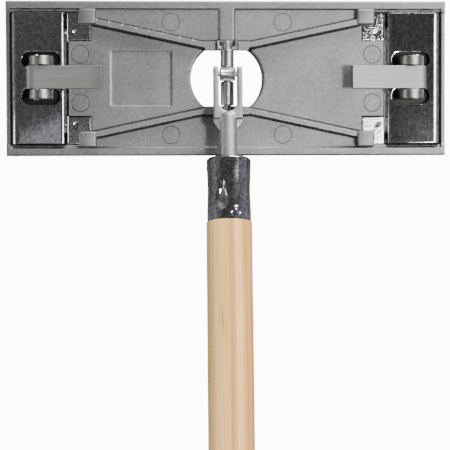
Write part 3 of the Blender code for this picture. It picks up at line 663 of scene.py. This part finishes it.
def sheet_grid(half_x, half_y, cell):
    """A flat grid about the origin."""
    bm = bmesh.new()
    count_x = round(2 * half_x / cell)
    count_y = round(2 * half_y / cell)
    bmesh.ops.create_grid(bm, x_segments=count_x, y_segments=count_y, size=1.0)
    bmesh.ops.scale(bm, vec=(half_x, half_y, 1.0), verts=bm.verts)
    return bm


def open_hole(bm, gap, reach):
    """Removes the faces where gap is negative and draws the new edge onto the outline."""
    doomed = [face for face in bm.faces if gap(*face.calc_center_median().xy) < 0.0]
    bmesh.ops.delete(bm, geom=doomed, context="FACES")
    for vert in bm.verts:
        distance = gap(*vert.co.xy)
        if vert.is_boundary and abs(distance) < reach:
            vert.co.xy -= distance * Vector(gap_slope(gap, *vert.co.xy))


def walls_and_floor(bm, low):
    """Closes a surface with walls down to low and a flat underside."""
    rim = [edge for edge in bm.edges if edge.is_boundary]
    made = bmesh.ops.extrude_edge_only(bm, edges=rim)
    for item in made["geom"]:
        if isinstance(item, bmesh.types.BMVert):
            item.co.z = low
    rim = [edge for edge in bm.edges if edge.is_boundary]
    bmesh.ops.triangle_fill(bm, use_beauty=True, use_dissolve=False, edges=rim, normal=(0, 0, -1))
    bmesh.ops.recalc_face_normals(bm, faces=bm.faces)


def cast_head():
    """The casting as one sloped and rounded surface over its walls."""
    casting = sizes("casting")
    bm = sheet_grid(HALF_LENGTH, HALF_WIDTH, casting.cell)

    def gap(x, y):
        return float(hole_gap(x, y, casting.hole_radius, casting.boss_inner))

    open_hole(bm, gap, reach=2.0 * MM)
    free = np.array([not vert.is_boundary for vert in bm.verts])
    places = draw_onto_ribs(np.array([vert.co.xy for vert in bm.verts]), free)
    heights = casting_height(places[:, 0], places[:, 1])
    # How far each point lies below its surroundings; it sets the painted shade in corners and the painted
    # highlight on edges
    around = [casting_height(places[:, 0] + ring * math.cos(turn), places[:, 1] + ring * math.sin(turn))
              for ring in CREVICE_RINGS for turn in np.linspace(0.0, math.tau, 8, endpoint=False)]
    hollows = np.mean(around, axis=0) - heights
    hollows += 1.0 * MM * (heights < casting.seat_floor + 0.3 * MM)  # painted shadow: a clamp's seat is made darker
    crevice = bm.verts.layers.float.new("crevice")
    for vert, spot, height, hollow in zip(bm.verts, places, heights, hollows):
        vert.co = (*spot, height)
        vert[crevice] = hollow
    walls_and_floor(bm, PLATE_LOW.z)
    for side_x in (1, -1):
        for side_y in (1, -1):
            add_hook(bm, side_x, side_y)
    bmesh.ops.translate(bm, vec=HEAD, verts=bm.verts)
    piece = new_piece("cast_head", bm, cast_surface(marked=True), 50.0)
    place(piece, "head", ["base_plate"])


def add_hook(bm, side_x, side_y):
    """A drafted pad that reaches over a clamp's tab."""
    casting = sizes("casting")
    hook = bmesh.new()
    bmesh.ops.create_cube(hook, size=1.0)
    span = Vector((casting.hook_outer - casting.hook_inner, casting.hook_high - casting.hook_low,
                   casting.hook_top - casting.hook_under))
    middle = Vector((casting.hook_outer + casting.hook_inner, casting.hook_high + casting.hook_low,
                     casting.hook_top + casting.hook_under)) / 2
    bmesh.ops.scale(hook, vec=span, verts=hook.verts)
    upper = [vert for vert in hook.verts if vert.co.z > 0.0]
    bmesh.ops.scale(hook, vec=(HOOK_TAPER, HOOK_TAPER, 1.0), verts=upper)
    bmesh.ops.bevel(hook, geom=hook.edges[:], offset=HOOK_ROUNDING, offset_type="OFFSET", segments=4,
                    profile=0.5, affect="EDGES", material=-1)
    bmesh.ops.translate(hook, vec=middle, verts=hook.verts)
    bmesh.ops.scale(hook, vec=(side_x, side_y, 1.0), verts=hook.verts)
    if side_x * side_y < 0:
        bmesh.ops.reverse_faces(hook, faces=hook.faces)
    joined = bpy.data.meshes.new("hook")
    hook.to_mesh(joined)
    hook.free()
    bm.from_mesh(joined)
    bpy.data.meshes.remove(joined)


def foam_backing():
    """The foam pad: soft edges, sides pulled in a little, and the centre hole."""
    fittings = sizes("fittings")
    half_x = (FOAM_HIGH.x - FOAM_LOW.x) / 2
    half_y = (FOAM_HIGH.y - FOAM_LOW.y) / 2
    radius = sizes("casting").hole_radius
    bm = sheet_grid(half_x, half_y, FOAM_CELL)
    open_hole(bm, lambda x, y: math.hypot(x, y) - radius, reach=0.4 * radius)
    swept = bmesh.ops.extrude_face_region(bm, geom=bm.faces[:])
    moved = [item for item in swept["geom"] if isinstance(item, bmesh.types.BMVert)]
    bmesh.ops.translate(bm, vec=(0, 0, FOAM_HIGH.z - FOAM_LOW.z), verts=moved)
    walls = [edge for edge in bm.edges if abs(edge.verts[0].co.z - edge.verts[1].co.z) > 1.0 * MM]
    bmesh.ops.subdivide_edges(bm, edges=walls, cuts=5, use_grid_fill=True)
    depth = FOAM_HIGH.z - FOAM_LOW.z
    for vert in bm.verts:
        bulge = math.sin(math.pi * vert.co.z / depth)
        if 0.0 < vert.co.z < depth:
            pull = fittings.foam_waist * bulge
            if vert.co.length < 1.05 * radius:
                vert.co.xy *= 1.0 + pull / radius
            else:
                vert.co.x -= pull * math.copysign(1.0, vert.co.x) * (abs(vert.co.x) > half_x - MM)
                vert.co.y -= pull * math.copysign(1.0, vert.co.y) * (abs(vert.co.y) > half_y - MM)
    bmesh.ops.recalc_face_normals(bm, faces=bm.faces)
    rims = [edge for edge in bm.edges if edge.calc_face_angle(0.0) > math.radians(60.0)]
    bmesh.ops.bevel(bm, geom=rims, offset=fittings.foam_edge, offset_type="OFFSET", segments=3,
                    profile=0.5, affect="EDGES", material=-1, clamp_overlap=True)
    bmesh.ops.translate(bm, vec=(HEAD.x, HEAD.y, FOAM_LOW.z), verts=bm.verts)
    piece = new_piece("foam_backing", bm, foam_surface(), 50.0)
    place(piece, "head", ["foam_pad"])


class BentSheet:
    """The middle line of a clamp's section, from its tabs to the foot of its turned-down edge."""

    def __init__(self, fittings, floor):
        self.fittings = fittings
        self.low = floor + fittings.sheet / 2
        self.high = fittings.clamp_top - fittings.sheet / 2
        self.bend = fittings.clamp_bend - fittings.sheet / 2
        self.tab = fittings.step_low - fittings.tab_x
        self.step = math.hypot(fittings.step_high - fittings.step_low, self.high - self.low)
        self.face_start = self.tab + self.step
        self.bend_start = self.face_start + fittings.clamp_edge - fittings.clamp_bend - fittings.step_high
        self.edge_start = self.bend_start + self.bend * math.pi / 2
        self.length = self.edge_start + self.high - self.bend - floor

    def bent(self, along):
        """Where a point of the flat sheet goes once the clamp is bent: (x, height)."""
        fittings = self.fittings
        if along <= self.tab:
            return fittings.tab_x + along, self.low
        if along <= self.face_start:
            share = (along - self.tab) / self.step
            rise = share * share * (3 - 2 * share)
            return (fittings.step_low + share * (fittings.step_high - fittings.step_low),
                    self.low + rise * (self.high - self.low))
        if along <= self.bend_start:
            return fittings.step_high + along - self.face_start, self.high
        centre = (fittings.clamp_edge - fittings.clamp_bend, self.high - self.bend)
        if along <= self.edge_start:
            turn = (along - self.bend_start) / self.bend
            return centre[0] + self.bend * math.sin(turn), centre[1] + self.bend * math.cos(turn)
        return centre[0] + self.bend, centre[1] - (along - self.edge_start)


def clamp_plate(label, side, surface):
    """A bent and slotted sheet with a dimple in each tab."""
    fittings = sizes("fittings")
    line = BentSheet(fittings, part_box(label + "_clamp")[0].z)
    bm = sheet_grid(line.length / 2, fittings.clamp_half, CLAMP_CELL)
    bmesh.ops.translate(bm, vec=(line.length / 2, 0, 0), verts=bm.verts)
    run = fittings.slot_half_length - fittings.slot_half_width
    slot_at = line.face_start - fittings.step_high + fittings.slot_x

    def slot_gap(x, y):
        return float(bar_gap(x, abs(y), (slot_at - run, fittings.slot_y),
                             (slot_at + run, fittings.slot_y), fittings.slot_half_width))

    def tab_gap(x, y):
        return float(box_gap(x, y, -SPAN, line.tab, -fittings.tab_y, fittings.tab_y))

    open_hole(bm, slot_gap, reach=0.5 * MM)
    open_hole(bm, tab_gap, reach=0.35 * MM)
    for vert in bm.verts:
        along, across = vert.co.xy
        x, height = line.bent(along)
        away = math.hypot(x - fittings.dimple_x, abs(across) - fittings.dimple_y) / fittings.dimple_radius
        if away < 1.0:
            height -= fittings.dimple_depth * (1.0 - away * away) ** 2
        vert.co = (x, across, height)
    bmesh.ops.recalc_face_normals(bm, faces=bm.faces)
    if sum(face.normal.z for face in bm.faces) < 0.0:
        bmesh.ops.reverse_faces(bm, faces=bm.faces)
    bmesh.ops.scale(bm, vec=(side, 1.0, 1.0), verts=bm.verts)
    if side < 0:
        bmesh.ops.reverse_faces(bm, faces=bm.faces)
    bmesh.ops.translate(bm, vec=HEAD, verts=bm.verts)
    piece = new_piece(label + "_clamp_plate", bm, surface, 50.0)
    wall = piece.modifiers.new("sheet", "SOLIDIFY")
    wall.thickness = fittings.sheet
    wall.offset = 0.0
    soften(piece, 0.12 * MM, 60.0)
    place(piece, label + "_jaw", [label + "_clamp"])


def cast_yoke():
    """The fork with soft cast corners between its arms, shoulders and stem."""
    handle = sizes("handle")
    bm = frame_bmesh("yoke")
    # The yoke gets a copy of the cast aluminium brightened 1.4 times, as painted light.
    rough = new_piece("yoke_rough", bm, cast_surface("cast_yoke_skin_painted_lighter", gain=1.4, rough=0.48))
    step = rough.modifiers.new("even_skin", "REMESH")
    step.mode = "VOXEL"
    step.voxel_size = handle.yoke_cell
    bpy.context.view_layer.update()
    evaluated = rough.evaluated_get(bpy.context.evaluated_depsgraph_get())
    skin = bpy.data.meshes.new_from_object(evaluated)
    bm = bmesh.new()
    bm.from_mesh(skin)
    for _ in range(SKIN_SMOOTHING):
        bmesh.ops.smooth_vert(bm, verts=bm.verts, factor=0.5, use_axis_x=True, use_axis_y=True,
                              use_axis_z=True)
    surface = rough.data.materials[0]
    bpy.data.objects.remove(rough)
    bpy.data.meshes.remove(skin)
    piece = new_piece("cast_yoke", bm, surface, 60.0)
    place(piece, "handle", ["yoke"])


def handle_matrix():
    """Turns a shape made along +Y from the origin onto the pole's own line."""
    side = POLE_WAY.cross(Vector((0, 0, 1))).normalized()
    upper = side.cross(POLE_WAY).normalized()
    turn = Matrix((side, POLE_WAY, upper)).transposed().to_4x4()
    return Matrix.Translation(PIVOT) @ turn


def spun(points, axis, steps):
    """A closed bmesh turned about an axis through the origin from a row of points."""
    bm = bmesh.new()
    verts = [bm.verts.new(point) for point in points]
    edges = [bm.edges.new(pair) for pair in zip(verts, verts[1:])]
    bmesh.ops.spin(bm, geom=verts + edges, cent=(0, 0, 0), axis=axis, angle=math.tau, steps=steps,
                   use_merge=True)
    bmesh.ops.remove_doubles(bm, verts=bm.verts, dist=MERGE)
    bmesh.ops.recalc_face_normals(bm, faces=bm.faces)
    return bm


def turned(profile, steps):
    """A bmesh turned about Y from (distance, radius) points."""
    return spun([(radius, distance, 0.0) for distance, radius in profile], (0, 1, 0), steps)


def quarter(steps):
    """Angles from nothing to a quarter turn."""
    return [math.radians(90.0 * index / steps) for index in range(steps + 1)]


def ferrule_profile(handle):
    """Section of the ferrule from its front hole round its outside and back inside."""
    start = handle.ferrule_start
    end = handle.ferrule_end
    shoulder = handle.ferrule_shoulder
    hole = handle.stem_radius + GAP
    points = [(start, hole), (start, (hole + handle.ferrule_radius - shoulder) / 2)]
    for turn in quarter(8):
        points.append((start + shoulder - shoulder * math.cos(turn),
                       handle.ferrule_radius - shoulder + shoulder * math.sin(turn)))
    steps = 60
    length = end - start - shoulder
    for index in range(1, steps + 1):
        share = index / steps
        waist = math.sin(math.pi * min(1.0, share * 1.05)) ** 2
        radius = handle.ferrule_radius - (handle.ferrule_radius - handle.ferrule_waist) * waist
        points.append((start + shoulder + share * length, radius - FERRULE_TAPER * share))
    inner = handle.ferrule_waist - handle.ferrule_wall
    points += [(end, inner), (start + handle.ferrule_wall + 1.5 * MM, inner),
               (start + handle.ferrule_wall, inner - 1.5 * MM), (start + handle.ferrule_wall, hole),
               (start, hole)]
    return points


def plated_ferrule():
    """The crimped cup with its dents."""
    handle = sizes("handle")
    bm = turned(ferrule_profile(handle), 128)
    limit = handle.ferrule_waist - 0.5 * handle.ferrule_wall
    for vert in bm.verts:
        radius = math.hypot(vert.co.x, vert.co.z)
        if radius < limit:
            continue
        angle = math.degrees(math.atan2(vert.co.z, vert.co.x))
        deep = 0.0
        for at, bearing, half_long, half_wide, depth in CRIMPS:
            across = math.radians(angle - bearing) * radius / half_wide
            along = (vert.co.y - at) / half_long
            away = math.hypot(across, along)
            if away < 1.0:
                deep += depth * (1.0 - away * away) ** 2
        shrink = (radius - deep) / radius
        vert.co.x *= shrink
        vert.co.z *= shrink
    bmesh.ops.transform(bm, matrix=handle_matrix(), verts=bm.verts)
    colours = sizes("colours")
    surface = plated_surface("dark_plating", tuple(colours.ferrule), 0.005 * MM, rough=0.12, contrast=0.6)
    piece = new_piece("plated_ferrule", bm, surface, 45.0)
    place(piece, "handle", ["ferrule"])


def wooden_pole():
    """The pole, turned down inside the ferrule and rounded at its free end."""
    handle = sizes("handle")
    tenon = handle.ferrule_waist - handle.ferrule_wall - GAP
    shoulder = handle.ferrule_end + GAP
    end = (POLE_TIP - PIVOT).length
    radius = handle.pole_radius
    chamfer = 0.7 * MM
    profile = [(handle.pole_start, 0.0), (handle.pole_start, tenon), (shoulder, tenon)]
    for turn in quarter(4):
        profile.append((shoulder + chamfer * (1 - math.cos(turn)), radius - chamfer * (1 - math.sin(turn))))
    stations = 40
    rounding = handle.pole_rounding
    for index in range(1, stations):
        along = (end - rounding - shoulder - chamfer) * index / stations
        profile.append((shoulder + chamfer + along, radius))
    for turn in quarter(8):
        profile.append((end - rounding * (1 - math.sin(turn)), radius - rounding * (1 - math.cos(turn))))
    profile.append((end, 0.0))
    bm = turned(profile, 96)
    bmesh.ops.transform(bm, matrix=handle_matrix(), verts=bm.verts)
    piece = new_piece("wooden_pole", bm, wood_surface(), 45.0)
    place(piece, "handle", ["pole"])


def area_light(name, offset, width, height, power, tone):
    """A rectangular lamp that faces the middle of the casting's top."""
    lamp = bpy.data.lights.new(name, "AREA")
    lamp.shape = "RECTANGLE"
    lamp.size = width
    lamp.size_y = height
    lamp.energy = power
    lamp.color = tone
    made = bpy.data.objects.new(name, lamp)
    middle = HEAD + Vector((0, 0, PLATE_HIGH.z))
    made.location = middle + Vector(offset)
    made.rotation_euler = (-Vector(offset)).to_track_quat("-Z", "Y").to_euler()
    bpy.context.scene.collection.objects.link(made)


def studio_world():
    """A dark ceiling that brightens towards the far side and, less, towards the left and right."""
    world = bpy.data.worlds.new("studio_world")
    bpy.context.scene.world = world
    world.use_nodes = True
    sky = Nodes(world.node_tree)
    way = sky.split(sky.node("ShaderNodeTexCoord").outputs["Generated"])
    tones = [sky.ramp(sky.span(way[axis], -1.0, 1.0), stops)
             for axis, stops in (("Y", FAR_TONES), ("X", SIDE_TONES))]
    sky.link(sky.mix("ADD", 1.0, *tones), sky.tree.nodes["Background"].inputs["Color"])


def studio_floor():
    """A pale floor that looks evenly lit and throws only a little light back."""
    bm = bmesh.new()
    bmesh.ops.create_grid(bm, x_segments=1, y_segments=1, size=4.0)
    bmesh.ops.translate(bm, vec=(0, 0, CAD_BOX[0][2] - 0.05 * MM), verts=bm.verts)
    paper = Surface("studio_floor", tuple(sizes("colours").floor), 0.9, 0.0)
    paper.shade("Emission Color", (1, 1, 1))
    paper.shade("Emission Strength", FLOOR_GLOW)
    shown = paper.node("ShaderNodeEmission", {"Strength": FLOOR_SHOWN}).outputs["Emission"]
    seen = paper.node("ShaderNodeLightPath").outputs["Is Camera Ray"]
    choice = paper.node("ShaderNodeMixShader", {0: seen, 1: paper.shader.outputs["BSDF"], 2: shown})
    paper.link(choice.outputs["Shader"], paper.tree.nodes["Material Output"].inputs["Surface"])
    new_piece("studio_floor", bm, paper.material)


def studio():
    """Pale floor, soft light and a camera that looks down on the head."""
    studio_floor()
    studio_world()
    for lamp in LAMPS:
        area_light(*lamp)
    lens = bpy.data.cameras.new("camera")
    camera = bpy.data.objects.new("camera", lens)
    lens.sensor_width = SENSOR_WIDTH
    lens.lens = CAMERA_LENS
    lens.clip_start = 0.01
    lens.clip_end = 20.0
    camera.location = HEAD + CAMERA_PLACE
    camera.rotation_euler = [math.radians(angle) for angle in CAMERA_TURN]
    bpy.context.scene.collection.objects.link(camera)
    bpy.context.scene.camera = camera


def make_clamps():
    plating = tuple(sizes("colours").plating)
    surface = plated_surface("bright_plating", plating, 0.003 * MM, rough=0.05, contrast=0.7, crinkled=True)
    for label, side in (("left", -1), ("right", 1)):
        clamp_plate(label, side, surface)


def make_levers():
    surface = lever_surface()
    for label in ("left", "right"):
        fitting(label + "_cam_lever", label + "_lever", surface, 0.35 * MM)


def make_lever_mounts():
    dull = bracket_surface()
    bright = steel_surface()
    for label in ("left", "right"):
        fitting(label + "_lever_bracket", "head", dull, 0.5 * MM)
        for part in ("front_rivet", "rear_rivet", "lever_pin"):
            fitting(f"{label}_{part}", "head", bright, 0.2 * MM)


def swivel_saddle(surface):
    """The frame's block under a barrel that narrows in the middle, where the cross pin passes."""
    low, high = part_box("swivel_block")
    half = (high.x - low.x) / 2
    pin_low, pin_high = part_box("cross_pin")
    centre = (pin_low + pin_high) / 2
    bore = (pin_high.z - pin_low.z) / 2 + GAP
    radius = high.z - centre.z
    end = radius - 0.5 * MM
    waist = 0.9 * MM
    points = [(-half, bore), (-half, end)]
    for step in range(-10, 11):
        share = step / 10
        points.append((0.97 * half * math.sin(math.pi / 2 * share), radius - waist * (1.0 - share * share)))
    points += [(half, end), (half, bore), (-half, bore)]
    bm = spun([(x, 0.0, z) for x, z in points], (1, 0, 0), 64)
    bmesh.ops.translate(bm, vec=centre, verts=bm.verts)
    barrel = new_piece("swivel_barrel", bm, surface, 40.0)
    body = frame_bmesh("swivel_block")
    cut = centre.z - 1.2 * MM
    bmesh.ops.bisect_plane(body, geom=body.verts[:] + body.edges[:] + body.faces[:],
                           plane_co=(0, 0, cut), plane_no=(0, 0, 1), clear_outer=True)
    rim = [edge for edge in body.edges if edge.is_boundary]
    bmesh.ops.triangle_fill(body, use_beauty=True, use_dissolve=False, edges=rim, normal=(0, 0, 1))
    shank = new_piece("swivel_shank", body, surface)
    soften(shank, 0.25 * MM)
    for piece in (barrel, shank):
        place(piece, "swivel", ["swivel_block"])


def make_swivel():
    # One satin steel in two copies: the sleeves' copy is darkened as painted shade, and the copy for the block and
    # cross pin is brightened as painted light.
    sleeves = steel_surface("steel_painted_darker", rough=0.30, gain=0.68)
    surface = steel_surface("steel_painted_lighter", rough=0.30, gain=1.2)
    fitting("swivel_pin", "head", cast_surface("pin_skin"), 0.3 * MM)
    for node in ("upper_spacer", "lower_spacer"):
        fitting(node, "head", sleeves, 0.15 * MM)
    swivel_saddle(surface)
    fitting("cross_pin", "swivel", surface, 0.2 * MM)


class SANDER_OT_studio(bpy.types.Operator):
    """Floor, light and camera"""
    bl_idname = "sander.studio"
    bl_label = "Studio"

    def execute(self, context):
        studio()
        return {"FINISHED"}


class SANDER_OT_cast_head(bpy.types.Operator):
    """The head's casting"""
    bl_idname = "sander.cast_head"
    bl_label = "Cast head"

    def execute(self, context):
        cast_head()
        return {"FINISHED"}


class SANDER_OT_foam_backing(bpy.types.Operator):
    """The foam pad under the head"""
    bl_idname = "sander.foam_backing"
    bl_label = "Foam backing"

    def execute(self, context):
        foam_backing()
        return {"FINISHED"}


class SANDER_OT_clamps(bpy.types.Operator):
    """The two bent clamp plates"""
    bl_idname = "sander.clamps"
    bl_label = "Clamps"

    def execute(self, context):
        make_clamps()
        return {"FINISHED"}


class SANDER_OT_levers(bpy.types.Operator):
    """The two cam levers"""
    bl_idname = "sander.levers"
    bl_label = "Levers"

    def execute(self, context):
        make_levers()
        return {"FINISHED"}


class SANDER_OT_lever_mounts(bpy.types.Operator):
    """Brackets, rivets and pins of the levers"""
    bl_idname = "sander.lever_mounts"
    bl_label = "Lever mounts"

    def execute(self, context):
        make_lever_mounts()
        return {"FINISHED"}


class SANDER_OT_swivel(bpy.types.Operator):
    """Pin, sleeves, block and cross pin"""
    bl_idname = "sander.swivel"
    bl_label = "Swivel"

    def execute(self, context):
        make_swivel()
        return {"FINISHED"}


class SANDER_OT_yoke(bpy.types.Operator):
    """The cast fork"""
    bl_idname = "sander.yoke"
    bl_label = "Yoke"

    def execute(self, context):
        cast_yoke()
        return {"FINISHED"}


class SANDER_OT_ferrule(bpy.types.Operator):
    """The crimped ferrule"""
    bl_idname = "sander.ferrule"
    bl_label = "Ferrule"

    def execute(self, context):
        plated_ferrule()
        return {"FINISHED"}


class SANDER_OT_pole(bpy.types.Operator):
    """The wooden pole"""
    bl_idname = "sander.pole"
    bl_label = "Pole"

    def execute(self, context):
        wooden_pole()
        return {"FINISHED"}


OPERATORS = [SANDER_OT_studio, SANDER_OT_cast_head, SANDER_OT_foam_backing, SANDER_OT_clamps,
             SANDER_OT_levers, SANDER_OT_lever_mounts, SANDER_OT_swivel, SANDER_OT_yoke,
             SANDER_OT_ferrule, SANDER_OT_pole]


class SANDER_PT_panel(bpy.types.Panel):
    """Lists the sander's pieces in the sidebar."""
    bl_label = "Pole drywall sander"
    bl_idname = "SANDER_PT_panel"
    bl_space_type = "VIEW_3D"
    bl_region_type = "UI"
    bl_category = "Sander"

    def draw(self, context):
        for kind in OPERATORS:
            self.layout.operator(kind.bl_idname)


GROUPS = (("sander_casting", CastingSizes), ("sander_fittings", FittingSizes),
          ("sander_handle", HandleSizes), ("sander_colours", Colours))


def register():
    for name, group in GROUPS:
        bpy.utils.register_class(group)
        setattr(bpy.types.Scene, name, PointerProperty(type=group))
    for kind in OPERATORS:
        bpy.utils.register_class(kind)
    bpy.utils.register_class(SANDER_PT_panel)


def unregister():
    bpy.utils.unregister_class(SANDER_PT_panel)
    for kind in reversed(OPERATORS):
        bpy.utils.unregister_class(kind)
    for name, group in reversed(GROUPS):
        delattr(bpy.types.Scene, name)
        bpy.utils.unregister_class(group)


def main():
    register()
    for kind in OPERATORS:
        getattr(bpy.ops.sander, kind.bl_idname.split(".")[1])()


if __name__ == "__main__":
    main()
